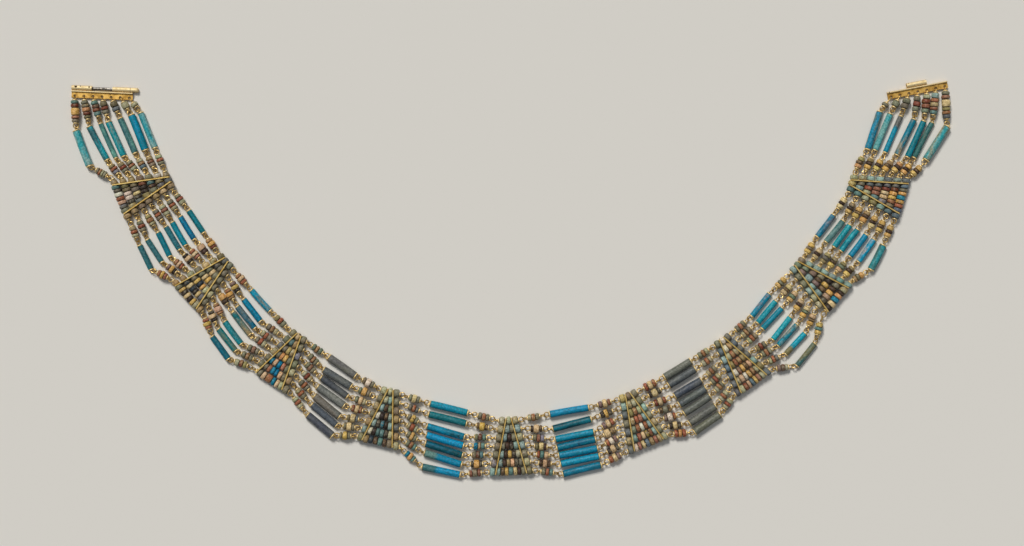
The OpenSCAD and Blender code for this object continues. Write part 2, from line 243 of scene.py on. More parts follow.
# Left outer bead | beads between the bars | right outer bead
panelChart = {
    1: ["n^|tkwRPgs|n", "n^|vvwwkS|n", "n^|vGWkg|N", "N|mkkV|N", "s|tKG|n", "w|ng|W", "n^|g|n"],
    2: ["n^|sykWkYS|n", "n^|dWdkWg|G", "S|sydYS|S", "G|GWyG|G", "W|GWG|G", "S|dG|G", "v|g|s"],
    3: ["|sPR+cWS|s", "s|GpcBPs|n*", "s|cPBpG|S", "S|soYG|s", "g|GxS|l", "s|tn|s", "s|P|s"],
    4: ["s|ndKtKN|S", "T|wkttkS|n", "n|TkCkT|g", "s|wkKT|n*", "S|TKe|N*", "G|ST|G", "S|S|s"],
    5: ["T|TKytWKG|v", "l|TKnPkG|S", "G|TKYkS|s", "s|GKkT|T", "s|TKs|S", "S|T+s|T", "S|S|S"],
    6: ["g|wpWbnmS|S", "S|TmWzrT|s", "g|eRwRT|S", "s|SRpT|s", "g|VRS|T", "T|SS|s", "x|N|s"],
    7: ["g|SrPbypS|g", "g|SPwYrS|V", "b|wmYKP|T", "b|VRrn|g", "T|SRS|g", "b|wn|b", "s|w|g"],
    8: ["|kWco-K-S|T", "S|kPyKG|M", "S|TKyk|T", "T|TfKS|T", "s|Tf|T", "G|fe|T", "T|e|N"],
    9: ["b|bRycYGb|g", "b|sRyYqg|T", "T|lPWrg|g", "V|tpmg|T", "S|SRg|T", "t|Ts|S", "t|x|S"],
}

# Glaze and patina of the tube beads. "+" is more patina, "-" hardly any, "<" and ">" a patch of it at the
# left or right end.
tubeChart = {
    1: ["LT", "HL", "HM", "Ln-", "HM", "AC+", "LT"],
    2: ["HE", "HM-", "CL-", "HE", "CE", "ZA", "EC"],
    3: ["ZH", "Ev", "LH", "En", "ZG", "ZA", "AG"],
    4: ["ju", "jh-", "hu", "ui", "ju", "uj", "uh"],
    5: ["AH<", "At<", "DZ", "AL-", "AD", "EH", "CA"],
    6: ["ZA", "AL-", "AC", "ZC", "CA", "DC", "AZ-"],
    7: ["hu", "uh", "uh", "uj", "ju", "ju", "uh"],
    8: ["Hv", "Av<", "Cn", "LC", "CA", "LC", "Af"],
    9: ["HL", "Ao", "AC", "CL", "LC", "HT", "Af"],
    10: ["Ln", "Hn-", "CE", "Cn", "Au>", "ML", "Av"],
}


chartMarks = "+-*^<>"


def readChart(text):
    # each letter with the mark that follows it, or with ""
    beads = []
    for letter, after in zip(text, text[1:] + " "):
        if letter not in chartMarks:
            beads.append((letter, after if after in chartMarks else ""))
    return beads


# Shapes, each modelled once as a bmesh and then laid many times

def shapeOf(bm):
    bmesh.ops.recalc_face_normals(bm, faces=bm.faces)
    points = np.array([v.co[:] for v in bm.verts])
    bm.verts.index_update()
    faces = [[v.index for v in face.verts] for face in bm.faces]
    bm.free()
    return {"points": points, "faces": faces}


def turned(profile, steps):
    # a closed profile of (along, out) points, spun round the X axis
    bm = bmesh.new()
    verts = [bm.verts.new((along, 0.0, out)) for along, out in profile]
    edges = [bm.edges.new(pair) for pair in zip(verts, verts[1:] + verts[:1])]
    bmesh.ops.spin(
        bm, geom=verts + edges, cent=(0, 0, 0), axis=(1, 0, 0), dvec=(0, 0, 0),
        angle=2 * math.pi, steps=steps, use_merge=True, use_duplicate=False,
    )
    return shapeOf(bm)


ringBead = {"steps": 20, "bore": 0.34}   # bore as a share of the radius

# Outer profiles of unit length and unit radius, from a round barrel to a flat disc
beadOutlines = [
    [(-0.50, 0.66), (-0.44, 0.84), (-0.27, 0.96), (0.0, 1.0), (0.27, 0.96), (0.44, 0.84), (0.50, 0.66)],
    [(-0.50, 0.74), (-0.45, 0.90), (-0.26, 0.985), (0.0, 1.0), (0.26, 0.985), (0.45, 0.90), (0.50, 0.74)],
    [(-0.50, 0.78), (-0.47, 0.91), (-0.36, 0.985), (0.02, 1.0), (0.34, 0.97), (0.46, 0.86), (0.50, 0.70)],
]
beadShapes = [
    turned([(-0.5, ringBead["bore"])] + outline + [(0.5, ringBead["bore"])], ringBead["steps"])
    for outline in beadOutlines
]

# A tube of unit length and unit radius: bore, the flat of the end and the edge round that are shares of
# the radius, shoulder is a share of the length
tubeBead = {"steps": 24, "rings": 16, "bore": 0.38, "flat": 0.86, "edge": 0.96, "shoulder": 0.012}


def tubeOutline():
    bore, flat, edge, shoulder = (tubeBead[part] for part in ("bore", "flat", "edge", "shoulder"))
    side = [(x, 1.0) for x in np.linspace(-0.5 + 2 * shoulder, 0.5 - 2 * shoulder, tubeBead["rings"])]
    return (
        [(-0.5, bore), (-0.5, flat), (-0.5 + shoulder / 2, edge)] + side
        + [(0.5 - shoulder / 2, edge), (0.5, flat), (0.5, bore)]
    )


tubeShape = turned(tubeOutline(), tubeBead["steps"])

# Gold cup washer of unit radius: flat on the bead, with a raised rim round a shallow dish
capSize = {"steps": 18, "bore": 0.17, "thickness": 0.48, "dish": 0.13}
capShape = turned(
    [
        (0.0, capSize["bore"]), (0.0, 0.92), (0.10, 0.98), (0.26, 1.0), (0.40, 0.98),
        (capSize["thickness"], 0.92), (capSize["thickness"] - 0.04, 0.80),
        (capSize["dish"], 0.58), (capSize["dish"], capSize["bore"]),
    ],
    capSize["steps"],
)

# Gold wire in mm: loop is a round loop's own radius, and a finer wire is wrapped round the loops' necks,
# sunk a share of its radius into the thicker one
wire = {
    "radius": 0.25, "sides": 8, "loop": 1.12, "loopSteps": 18,
    "wrapWire": 0.13, "wrapSides": 5, "wrapSteps": 12, "wrapTurns": 2, "wrapSunk": 0.3,
}


def threadShape():
    bm = bmesh.new()
    bmesh.ops.create_cone(
        bm, cap_ends=True, segments=wire["sides"], radius1=wire["radius"], radius2=wire["radius"],
        depth=1.0, matrix=Matrix.Rotation(math.pi / 2, 4, "Y"),
    )
    return shapeOf(bm)


def loopShape():
    # a wire ring in the XY plane
    bm = bmesh.new()
    section = bmesh.ops.create_circle(
        bm, segments=wire["sides"], radius=wire["radius"],
        matrix=Matrix.Translation((wire["loop"], 0, 0)) @ Matrix.Rotation(math.pi / 2, 4, "X"),
    )["verts"]
    edges = list({edge for vert in section for edge in vert.link_edges})
    bmesh.ops.spin(
        bm, geom=section + edges, cent=(0, 0, 0), axis=(0, 0, 1), dvec=(0, 0, 0),
        angle=2 * math.pi, steps=wire["loopSteps"], use_merge=True, use_duplicate=False,
    )
    return shapeOf(bm)


def wrapShape():
    # wire wound round the neck of a loop, of unit length along X
    bm = bmesh.new()
    out = wire["radius"] + (1 - wire["wrapSunk"]) * wire["wrapWire"]
    section = bmesh.ops.create_circle(
        bm, segments=wire["wrapSides"], radius=wire["wrapWire"],
        matrix=Matrix.Translation((-0.5, 0, out)) @ Matrix.Rotation(math.pi / 2, 4, "X"),
    )["verts"]
    start = bmesh.ops.contextual_create(bm, geom=section)["faces"]
    steps = wire["wrapSteps"] * wire["wrapTurns"]
    bmesh.ops.spin(
        bm, geom=start, cent=(0, 0, 0), axis=(1, 0, 0), dvec=(1.0 / steps, 0, 0),
        angle=2 * math.pi * wire["wrapTurns"], steps=steps, use_merge=False, use_duplicate=False,
    )
    return shapeOf(bm)


thread, loop, wrap = threadShape(), loopShape(), wrapShape()
print("shapes made, bead of", len(beadShapes[0]["faces"]), "faces, loop of", len(loop["faces"]))


# Gathering copies into one mesh

def newGather():
    return {"points": [], "faces": [], "count": 0, "values": {}}


def addCopy(gather, shape, points, **values):
    # a value is one for the whole copy, or one for each of its points
    start = gather["count"]
    gather["points"].append(points)
    gather["faces"] += [[start + i for i in face] for face in shape["faces"]]
    gather["count"] += len(points)
    for name, value in values.items():
        value = np.asarray(value, float)
        if not value.ndim or len(value) != len(points):
            value = np.broadcast_to(value, (len(points),) + value.shape)
        gather["values"].setdefault(name, []).append(value)


def layAlong(points, origin, heading, roll=0.0):
    # turns points round their own X axis, then sets X along the heading with Z as high as it goes
    x = unit(heading)
    y = unit(np.cross([0.0, 0.0, 1.0], x))
    z = np.cross(x, y)
    c, s = math.cos(roll), math.sin(roll)
    rolled = points @ np.array([[1, 0, 0], [0, c, s], [0, -s, c]])
    return rolled @ np.array([x, y, z]) + origin


# What a bead's points carry for its material
attributeKinds = {
    "glaze": "FLOAT_COLOR", "patina": "FLOAT_COLOR", "lay": "FLOAT_VECTOR",
    "wear": "FLOAT", "rim": "FLOAT", "cap": "FLOAT",
}
attributeFields = {"FLOAT_COLOR": "color", "FLOAT_VECTOR": "vector", "FLOAT": "value"}


def addObject(name, data):
    added = bpy.data.objects.new(name, data)
    bpy.context.scene.collection.objects.link(added)
    return added


def makePiece(name, gather, material, slot, body, *replaced, sharpFrom=50):
    points = np.concatenate(gather["points"])
    points[:, 2] = np.maximum(points[:, 2], 0.0)   # uneven beads don't sink into the table
    mesh = bpy.data.meshes.new(name)
    mesh.from_pydata((points * mm).tolist(), [], gather["faces"])
    for title, parts in gather["values"].items():
        kind = attributeKinds[title]
        attribute = mesh.attributes.new(title, kind, "POINT")
        attribute.data.foreach_set(attributeFields[kind], np.concatenate(parts).astype(np.float32).ravel())
    mesh.shade_smooth()
    mesh.set_sharp_from_angle(angle=math.radians(sharpFrom))
    mesh.materials.append(material)
    piece = addObject(name, mesh)
    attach(piece, body)
    if replaced:
        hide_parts(*replaced)
    return piece


# Materials

def addNode(tree, kind, inputs=(), out=0, **settings):
    # one node with its settings. Inputs go by name or in order, and each is a value, a hex colour or the
    # output of another node.
    node = tree.nodes.new("ShaderNode" + kind)
    for name, value in settings.items():
        setattr(node, name, value)
    for name, value in inputs.items() if isinstance(inputs, dict) else enumerate(inputs):
        socket = node.inputs[name]
        if isinstance(value, bpy.types.NodeSocket):
            tree.links.new(value, socket)
        else:
            socket.default_value = linearColour(value) if isinstance(value, str) else value
    return node.outputs[out]


# A Map Range node takes a value, where it starts and is full, and what it is there. Of a colour Mix node,
# input 0 is the share, 6 and 7 are the colours.
smooth = {"interpolation_type": "SMOOTHSTEP"}
colours = {"data_type": "RGBA", "out": 2}


def newMaterial(name):
    material = bpy.data.materials.new(name)
    material.use_nodes = True
    tree = material.node_tree
    shader = tree.nodes["Principled BSDF"]
    return material, tree, shader


def faience(name, gloss, depth, tint, streak, patch, mottle, grain, pits):
    # Faience is quartz paste with a copper glaze, self-glazed in the kiln: a satin skin, worn through
    # at the rims, with runs and stains of patina, fine grit and a few open pits. Bead ends are painted
    # dark: painted shade in the joints.
    # gloss is the roughness where it is smoothest, depth darkens the glaze and tint makes it more vivid.
    # patch, mottle, grain and pits are sizes in mm, streak how many times longer a patch is than wide.
    material, tree, shader = newMaterial(name)
    lay, glazeColour, patinaColour, wear, rim = (
        addNode(tree, "Attribute", out=kind, attribute_name=title) for title, kind in (
            ("lay", "Vector"), ("glaze", "Color"), ("patina", "Color"), ("wear", "Fac"), ("rim", "Fac"),
        )
    )
    drawn = addNode(tree, "Mapping", {"Vector": lay, "Scale": (1 / streak, 1, 1)})
    patches, mottles, grit, pores = (
        addNode(tree, "TexNoise", {
            "Vector": vector, "Scale": 1 / size, "Detail": detail, "Roughness": roughness,
        })
        for vector, size, detail, roughness in (
            (drawn, patch, 5, 0.62), (lay, mottle, 6, 0.65), (lay, grain, 3, 0.7), (lay, pits, 2, 0.5),
        )
    )

    # Patina lies over the glaze in patches, and thick glaze is darker and more vivid than thin
    stained = addNode(tree, "Math", (patches, wear), operation="ADD")
    stain = addNode(tree, "MapRange", (stained, 0.78, 1.14), **smooth)
    skin = addNode(tree, "Mix", {0: stain, 6: glazeColour, 7: patinaColour}, **colours)
    lightness = addNode(tree, "MapRange", (mottles, 0.3, 0.7, 0.58 * depth, 1.36 * depth), **smooth)
    vividness = addNode(tree, "MapRange", (mottles, 0.3, 0.75, 1.12 * tint, 0.84 * tint), **smooth)
    tone = addNode(tree, "HueSaturation", {"Color": skin, "Value": lightness, "Saturation": vividness})

    # The layers over that: what drives each, where it starts and is full, how much it covers, its colour
    worn = addNode(tree, "Math", (rim, mottles), operation="MULTIPLY")
    layers = {
        "grit": (grit, 0.60, 0.78, 0.34, "#d9d2bd"),
        "paste": (worn, 0.34, 0.62, 0.75, bodyPaste),
        "pits": (pores, 0.69, 0.76, 1.0, "#2b2622"),
        # painted shade: each bead's ends are painted dark brown, as the shade between neighbouring beads
        "paintedJointShade": (rim, 0.45, 0.85, 0.72, "#2e271e"),
    }
    shares = {}
    for layer, (drive, start, full, cover, colour) in layers.items():
        shares[layer] = addNode(tree, "MapRange", (drive, start, full, 0, cover), **smooth)
        tone = addNode(tree, "Mix", {0: shares[layer], 6: tone, 7: colour}, **colours)
    tree.links.new(tone, shader.inputs["Base Color"])

    satin = addNode(tree, "MapRange", (mottles, 0.3, 0.7, gloss + 0.16, gloss), **smooth)
    tree.links.new(satin, shader.inputs["Roughness"])
    relief = addNode(tree, "Math", (mottles, shares["pits"]), operation="SUBTRACT")
    gritty = addNode(tree, "Math", (grit, 0.45, relief), operation="MULTIPLY_ADD")
    bump = addNode(tree, "Bump", {"Strength": 0.55, "Distance": 0.06 * mm, "Height": gritty})
    tree.links.new(bump, shader.inputs["Normal"])
    shader.inputs["IOR"].default_value = 1.5
    shader.inputs["Specular IOR Level"].default_value = 0.3   # the skin is too fine-grained to mirror much
    return material


def metal(name, bright, dull, polish, rub, scratch, paintedHighlight=None, dents=None):
    # polish is the roughness where it is brightest, rub and scratch are sizes in mm.
    # paintedHighlight is what is painted paler and made rougher, a painted highlight: the sheet above a
    # height in mm, or where the attribute cap is 1.
    # dents gives the small ones' size in mm, and the places of two larger ones; every dent is pressed in
    # and painted dark, a painted shade.
    material, tree, shader = newMaterial(name)
    place = addNode(tree, "TexCoord", out="Object")
    rubs, lines = (
        addNode(tree, "TexNoise", {
            "Vector": place, "Scale": 1 / (size * mm), "Detail": detail, "Roughness": roughness,
        })
        for size, detail, roughness in ((rub, 4, 0.6), (scratch, 3, 0.7))
    )
    dulled = addNode(tree, "MapRange", (rubs, 0.36, 0.66), **smooth)
    tone = addNode(tree, "Mix", {0: dulled, 6: bright, 7: dull}, **colours)
    rough = addNode(tree, "MapRange", (rubs, 0.35, 0.7, polish, polish + 0.2), **smooth)
    if paintedHighlight:
        if "above" in paintedHighlight:
            height = addNode(tree, "SeparateXYZ", (place,), out="Z")
            low, high = (paintedHighlight["above"] - paintedHighlight["blend"]) * mm, (paintedHighlight["above"] + paintedHighlight["blend"]) * mm
            share = addNode(tree, "MapRange", (height, low, high), **smooth)
        else:
            share = addNode(tree, "Attribute", out="Fac", attribute_name="cap")
        # painted highlight: a paler gold and more roughness where the share is 1
        tone = addNode(tree, "Mix", {0: share, 6: tone, 7: paintedHighlight["colour"]}, **colours)
        rough = addNode(tree, "Math", (share, paintedHighlight["matt"], rough), operation="MULTIPLY_ADD")
    relief = lines
    if dents:
        dimples = addNode(tree, "TexNoise", {
            "Vector": place, "Scale": 1 / (dents["size"] * mm), "Detail": 2, "Roughness": 0.4,
        })
        dented = addNode(tree, "MapRange", (dimples, 0.69, 0.74), **smooth)
        for x, y, radius in dents["worn"]:
            spot = (x * mm, y * mm, dents["top"] * mm)
            near = addNode(tree, "VectorMath", (place, spot), out="Value", operation="DISTANCE")
            hole = addNode(tree, "MapRange", (near, radius * mm, 0.7 * radius * mm), **smooth)
            dented = addNode(tree, "Math", (dented, hole), operation="MAXIMUM")
        # painted shade: every dent, small and large, is painted dark
        tone = addNode(tree, "Mix", {0: dented, 6: tone, 7: dents["colour"]}, **colours)
        relief = addNode(tree, "Math", (dented, -4.0, lines), operation="MULTIPLY_ADD")
    tree.links.new(tone, shader.inputs["Base Color"])
    tree.links.new(rough, shader.inputs["Roughness"])
    shader.inputs["Metallic"].default_value = 1.0
    bump = addNode(tree, "Bump", {"Strength": 0.3, "Distance": 0.015 * mm, "Height": relief})
    tree.links.new(bump, shader.inputs["Normal"])
    return material


tubeFaience = faience(
    "faienceTubeGlaze", gloss=0.40, depth=0.87, tint=1.14,
    streak=3.2, patch=2.5, mottle=0.8, grain=0.42, pits=1.3,
)
ringFaience = faience(
    "faienceRingGlaze", gloss=0.44, depth=0.76, tint=1.07,
    streak=1, patch=1.3, mottle=0.7, grain=0.38, pits=1.5,
)
wireGold = metal(   # bright, darker in random patches; the cup washers are painted paler and rougher than the wire, a painted highlight
    "drawnGoldWire", bright="#dfc282", dull="#a1864c", polish=0.42, rub=1.6, scratch=0.3,
    paintedHighlight={"colour": "#f8e3ae", "matt": 0.18},
)
stripGold = metal(   # satin edge of cut sheet
    "rolledGoldStrip", bright="#e9cf88", dull="#cbab62", polish=0.45, rub=2.5, scratch=0.25,
)
sheetGold = metal(   # dented all over, with painted shade in every dent and in two larger ones; the ridge and the knuckles painted paler, a painted highlight
    "beatenGoldSheet", bright="#e0b868", dull="#b08b45", polish=0.50, rub=2.2, scratch=0.35,
    paintedHighlight={"above": 1.5, "blend": 0.1, "colour": "#efdfb6", "matt": 0.16},
    dents={
        "size": 1.3, "colour": "#4a3a22",
        # the two larger dents, painted dark as painted shade
        "top": 2.2, "worn": [(-195.6, 86.6, 0.75), (-189.6, 86.3, 0.5)],   # x, y and radius of each
    },
)
pinSilver = metal(   # nearly black in patches
    "tarnishedSilverPin", bright="#8d8983", dull="#3b3733", polish=0.34, rub=1.2, scratch=0.3,
)
print("materials made")


# Ring beads. uneven, wedge and smaller are shares of a bead's size, shoulder is its end's share of the
# radius when neighbours are kept clear of each other, and wear is how much patina shows.

beadLook = {
    "uneven": 0.022, "wedge": 0.10, "smaller": 0.006, "lobes": (1, 2, 3), "fill": 0.985,
    "shiftAcross": 0.05, "tilt": 2.0, "clear": 0.02, "shoulder": 0.89, "samples": 3, "rodSamples": 9,
    "toneSpread": 0.10, "hueSpread": 0.035, "toneRange": (0.004, 0.9),
    "wear": (0.22, 0.50), "paleWear": 0.12, "rimReach": 0.22, "layRange": 60.0,
    "widthSpread": (0.88, 1.12), "darkWidth": 0.85,
}
paleGlazes, darkGlazes = "wWxyYoPtTcB", "kKdqg"
wideGlazes, narrowGlazes = "wWxyYPT", "kK"
markWidth = {"+": 1.5, "-": 0.7, "*": 1.15, "^": 1.0, "": 1.0}

# The glaze that each ring glaze is stained with; the others are stained tan-grey
stainOver = {
    "S": "n", "t": "s", "T": "s", "g": "G", "k": "G", "K": "n", "d": "G", "w": "n", "c": "t", "B": "t",
    "b": "g", "G": "s", "r": "n", "R": "n", "q": "G", "Y": "n", "n": "G",
}


def bumpyBead(width, radius):
    # a hand-made bead: not quite round, a little thicker on one side
    shape = beadShapes[random.integers(len(beadShapes))]
    points = shape["points"].copy()
    angle = np.arctan2(points[:, 2], points[:, 1])
    uneven = beadLook["uneven"]
    lobes = sum(
        random.normal(0, uneven / n) * np.cos(n * angle - random.uniform(*anyTurn))
        for n in beadLook["lobes"]
    )
    size = radius * (1 - abs(random.normal(0, beadLook["smaller"])) + lobes - uneven / 2)
    points[:, 1:] *= size[:, None]
    thinSide = 1 - np.cos(angle - random.uniform(*anyTurn))
    points[:, 0] *= width * (1 - beadLook["wedge"] / 2 * thinSide * abs(points[:, 0]) * 2)
    return shape, points


def rimOf(shape, reach):
    # 1 at the ends of a unit shape and 0 past reach from them
    return np.clip(1 - (0.5 - abs(shape["points"][:, 0])) / reach, 0, 1)


def beadColour(code):
    # each bead of a glaze came out of the kiln a little lighter or darker
    tone = random.normal(1.0, beadLook["toneSpread"])
    drift = random.normal(1.0, beadLook["hueSpread"], 3)
    colour = np.array(linearColour(glaze[code]))
    colour[:3] = np.clip(colour[:3] * tone * drift, *beadLook["toneRange"])
    return colour


def patinaOf(code):
    return np.array(linearColour(glaze[stainOver.get(code, "N")]))


def widthsOf(beads, length, paleShare=1.0):
    # the beads of a row share its length by glaze, by mark and by chance
    wanted = []
    for code, mark in beads:
        share = paleShare if code in wideGlazes else beadLook["darkWidth"] if code in narrowGlazes else 1.0
        wanted.append(share * markWidth[mark] * random.uniform(*beadLook["widthSpread"]))
    return np.array(wanted) / np.sum(wanted) * length


def radiusOf(code, radius, look):
    # no two beads are quite alike, and dark ones are smaller
    darker = look["darkShare"] if code in darkGlazes else 1.0
    return radius * (random.uniform(*look["spread"]) * darker)


def newBead(code, origin, heading, width, radius, turn=0.0, panel=None, inside=False, taper=0.0):
    side = np.array([-heading[1], heading[0], 0.0]) * random.normal(0, beadLook["shiftAcross"])
    return {
        "code": code, "origin": origin + side, "heading": heading, "width": width, "radius": radius,
        "turn": turn, "panel": panel, "inside": inside, "taper": taper,
    }


def keepOffBars(points, panel, inside):
    # no bead reaches into a bar: points past the bar's face are pressed back onto it
    across = (points - panel["centre"]) @ panel["across"]
    up = (points - panel["centre"]) @ panel["up"]
    face = panel["halfGap"] - up * panel["flare"]
    if inside:
        limit = face - panelLook["barClear"]
        kept = np.clip(across, -limit, limit)
    else:
        kept = np.sign(across) * np.maximum(abs(across), face + panelLook["barClear"])
    return points + np.outer(kept - across, panel["across"])


def addBead(gather, bead):
    shape, points = bumpyBead(bead["width"] * beadLook["fill"], bead["radius"])
    towardsTip = np.clip(0.5 + np.sign(bead["taper"]) * points[:, 0] / bead["width"], 0, 1)
    points[:, 1:] *= (1 - towardsTip * abs(bead["taper"]))[:, None]
    lean = math.radians(bead["turn"] + random.normal(0, beadLook["tilt"]))
    c, s = math.cos(lean), math.sin(lean)
    leaned = points @ np.array([[c, s, 0], [-s, c, 0], [0, 0, 1]])
    laid = layAlong(leaned, bead["origin"], bead["heading"])
    if bead["panel"]:
        laid = keepOffBars(laid, bead["panel"], bead["inside"])
    colour = beadColour(bead["code"])
    lay = points + random.uniform(0, beadLook["layRange"], 3)
    cleaner = beadLook["paleWear"] if bead["code"] in paleGlazes else 0.0
    wear = random.uniform(*beadLook["wear"]) - cleaner
    addCopy(
        gather, shape, laid, glaze=colour, patina=patinaOf(bead["code"]), lay=lay, wear=wear,
        rim=rimOf(shape, beadLook["rimReach"]),
    )


# Clusters of ring beads on the strands. paleMiddle and paleWidth are for pale beads, darkShare for dark
# ones, ends for a cluster's outer beads, endShare for those of a wide cluster.

clusterSize = {
    "radius": 1.78, "paleMiddle": 1.97, "ends": 1.66, "spread": (0.96, 1.02),
    "paleWidth": 1.35, "darkShare": 0.96, "endShare": 0.9, "capRadius": 1.18,
}
wideClusters = {   # by cluster and strand
    "1A1": 1.98, "1A2": 1.92, "1A5": 1.86, "7A7": 1.98, "7A1": 1.9,
    "10B1": 2.02, "10B2": 1.9, "10B3": 1.98, "10B5": 1.9,
}


def clusterName(n):
    return f"{n // 2 + 1}{'AB'[n % 2]}"


def clusterText(k, n):
    return clusterChart[clusterName(n)][k - 1]


def clusterBeads(k, n, faces):
    cluster = clusters[k][n]
    beads = readChart(clusterText(k, n))
    widths = widthsOf(beads, faces[0] + faces[1], clusterSize["paleWidth"])
    widest = wideClusters.get(f"{clusterName(n)}{k}")
    at = -faces[0]
    made = []
    for i, ((code, mark), width) in enumerate(zip(beads, widths)):
        atEnd = i in (0, len(beads) - 1)
        radius = clusterSize["paleMiddle"] if code in paleGlazes else clusterSize["radius"]
        if atEnd and len(beads) > 2:
            radius = clusterSize["ends"]
        if widest:
            radius = widest * (clusterSize["endShare"] if atEnd and len(beads) > 3 else 1.0)
        radius = radiusOf(code, radius, clusterSize)
        origin = cluster["centre"] + cluster["axis"] * (at + width / 2)
        made.append(newBead(code, origin, cluster["axis"], width, radius))
        at += width
    return made


# Panels of beads between their two bars. The first row has larger beads and lies a little further out,
# and the beads fan out with the bars.

panelLook = {
    "radius": 1.9, "spread": (0.955, 1.0), "darkShare": 0.97, "firstRow": 2.02, "firstRowOut": 0.15,
    "barClear": 0.29, "fan": 0.55, "mostFan": 9, "cone": 0.34, "capRadius": 1.12,
}


def rowUp(k):
    further = panelLook["firstRowOut"] if k == 1 else 0.0
    return (k - panelSizes["middleRow"]) * panelSizes["rowPitch"] - further


def halfGap(panel, k):
    return panel["halfGap"] - rowUp(k) * panel["flare"]


def rowCentre(panel, k):
    height = max(panelSizes["rowHeight"], panelLook["firstRow"] if k == 1 else 0.0)
    return panel["centre"] + panel["up"] * rowUp(k) + np.array([0, 0, height])


def rowText(j, k):
    left, inner, right = panelChart[j][k - 1].split("|")
    return inner, {-1: left, 1: right}


def panelBeads(j, k, faces):
    # the beads between the bars, then the one outside each bar
    panel = panels[j]
    inner, outer = rowText(j, k)
    start = halfGap(panel, k) + panelLook["barClear"]
    reach = start - 2 * panelLook["barClear"]
    lots = [(readChart(inner), -reach, reach, 0)]
    for side, face in zip((-1, 1), faces):
        lots.append((readChart(outer[side]), *sorted((side * start, side * face)), side))
    made = []
    for beads, low, high, side in lots:
        at = low
        for (code, mark), width in zip(beads, widthsOf(beads, high - low)):
            middleAt = at + width / 2
            at += width
            fan = math.degrees(math.atan(panel["flare"])) * panelLook["fan"] * middleAt / halfGap(panel, k)
            fan = min(max(fan, -panelLook["mostFan"]), panelLook["mostFan"])
            radius = radiusOf(code, panelLook["firstRow"] if k == 1 else panelLook["radius"], panelLook)
            origin = rowCentre(panel, k) + panel["across"] * middleAt
            taper = side * panelLook["cone"] if mark == "^" else 0.0
            made.append(newBead(code, origin, panel["across"], width, radius, fan, panel, not side, taper))
    return made


# The order of things on each strand's wire, and how far each one reaches before its cap

linkLook = {
    "neckMin": 0.10, "neckMax": 0.62, "clear": 0.04, "open": 22, "lean": 8, "endBend": 0.3,
    "roomy": 3.75, "growMin": 0.05, "growMax": 0.28, "outerGrow": 0.5, "claspInset": 0.28, "tubeCap": 0.98,
}


def stationsOf(k):
    # faces and grow are a reach and how much may be added to it, at the left and at the right end
    stations = []
    for s in range(sectionCount):
        left, right = 2 * s, 2 * s + 1
        for bead, n in ((clusters[k][left], left), (tubes[k][s], None), (clusters[k][right], right)):
            isTube = n is None
            stations.append({
                "centre": bead["centre"].copy(), "axis": bead["axis"], "cluster": n,
                "faces": [bead["half"], bead["half"]],
                "grow": [0.0, 0.0] if isTube else [linkLook["growMax"], linkLook["growMax"]],
                "capRadius": bead["radius"] * linkLook["tubeCap"] if isTube else clusterSize["capRadius"],
            })
        if s + 1 in allPanels:
            panel = panels[s + 1]
            outer = rowText(s + 1, k)[1]
            outside = [(panelSizes["outerReach"], linkLook["outerGrow"]) if outer[side]
                       else (panelLook["barClear"], 0.0) for side in (-1, 1)]
            stations.append({
                "centre": rowCentre(panel, k), "axis": panel["across"], "cluster": None, "panel": s + 1,
                "faces": [halfGap(panel, k) + reach for reach, grow in outside],
                "grow": [grow for reach, grow in outside],
                "capRadius": panelLook["capRadius"],
            })
    growIntoGaps(stations)
    return stations


def growIntoGaps(stations):
    # where the links between two beads would be slack, the beads reach a little further
    for left, right in zip(stations, stations[1:]):
        gap = np.linalg.norm(faceOf(right, -1) - faceOf(left, 1))
        share = max(linkLook["growMin"], (gap - linkLook["roomy"]) / 2)
        left["faces"][1] += min(share, left["grow"][1])
        right["faces"][0] += min(share, right["grow"][0])
    stations[0]["faces"][0] -= linkLook["claspInset"]
    stations[-1]["faces"][1] -= linkLook["claspInset"]


def faceOf(station, side):
    return station["centre"] + station["axis"] * side * station["faces"][side > 0]


def samplesOf(bead, count, shoulder):
    # points along a bead's axis, each with the bead's radius there
    along = np.linspace(-0.5, 0.5, count)
    radii = np.full(count, bead["radius"])
    radii[[0, -1]] *= shoulder
    return bead["origin"][:2] + np.outer(along * bead["width"], bead["heading"][:2]), radii


def settleBeads(near, far, fixed=False):
    # neighbours that would press into each other are made smaller, and fixed rods keep their size
    form = {"count": beadLook["samples"], "shoulder": beadLook["shoulder"]}
    farForm = {"count": beadLook["rodSamples"], "shoulder": 1.0} if fixed else form
    for first in near:
        for second in far:
            reach = first["radius"] + second["radius"] + (first["width"] + second["width"]) / 2
            if np.linalg.norm(first["origin"][:2] - second["origin"][:2]) > reach:
                continue
            nearPoints, nearRadii = samplesOf(first, **form)
            farPoints, farRadii = samplesOf(second, **farForm)
            apart = np.linalg.norm(nearPoints[:, None] - farPoints[None], axis=2)
            over = (nearRadii[:, None] + farRadii[None] + beadLook["clear"] - apart).max()
            if over > 0:
                first["radius"] -= over if fixed else over / 2
                second["radius"] -= 0 if fixed else over / 2


strands = {k: stationsOf(k) for k in allStrands}
strandBeads = {
    k: [
        bead for station in stations if station["cluster"] is not None
        for bead in clusterBeads(k, station["cluster"], station["faces"])
    ]
    for k, stations in strands.items()
}
rowBeads = {
    (station["panel"], k): panelBeads(station["panel"], k, station["faces"])
    for k, stations in strands.items() for station in stations if "panel" in station
}
for k in allStrands[:-1]:
    settleBeads(strandBeads[k], strandBeads[k + 1])
    for j in allPanels:
        settleBeads(rowBeads[j, k], rowBeads[j, k + 1])
for k in allStrands:
    rods = [
        {**tube, "origin": tube["centre"], "heading": tube["axis"], "width": 2 * tube["half"]}
        for other in (k - 1, k + 1) if other in tubes for tube in tubes[other]
    ]
    settleBeads(strandBeads[k], rods, True)

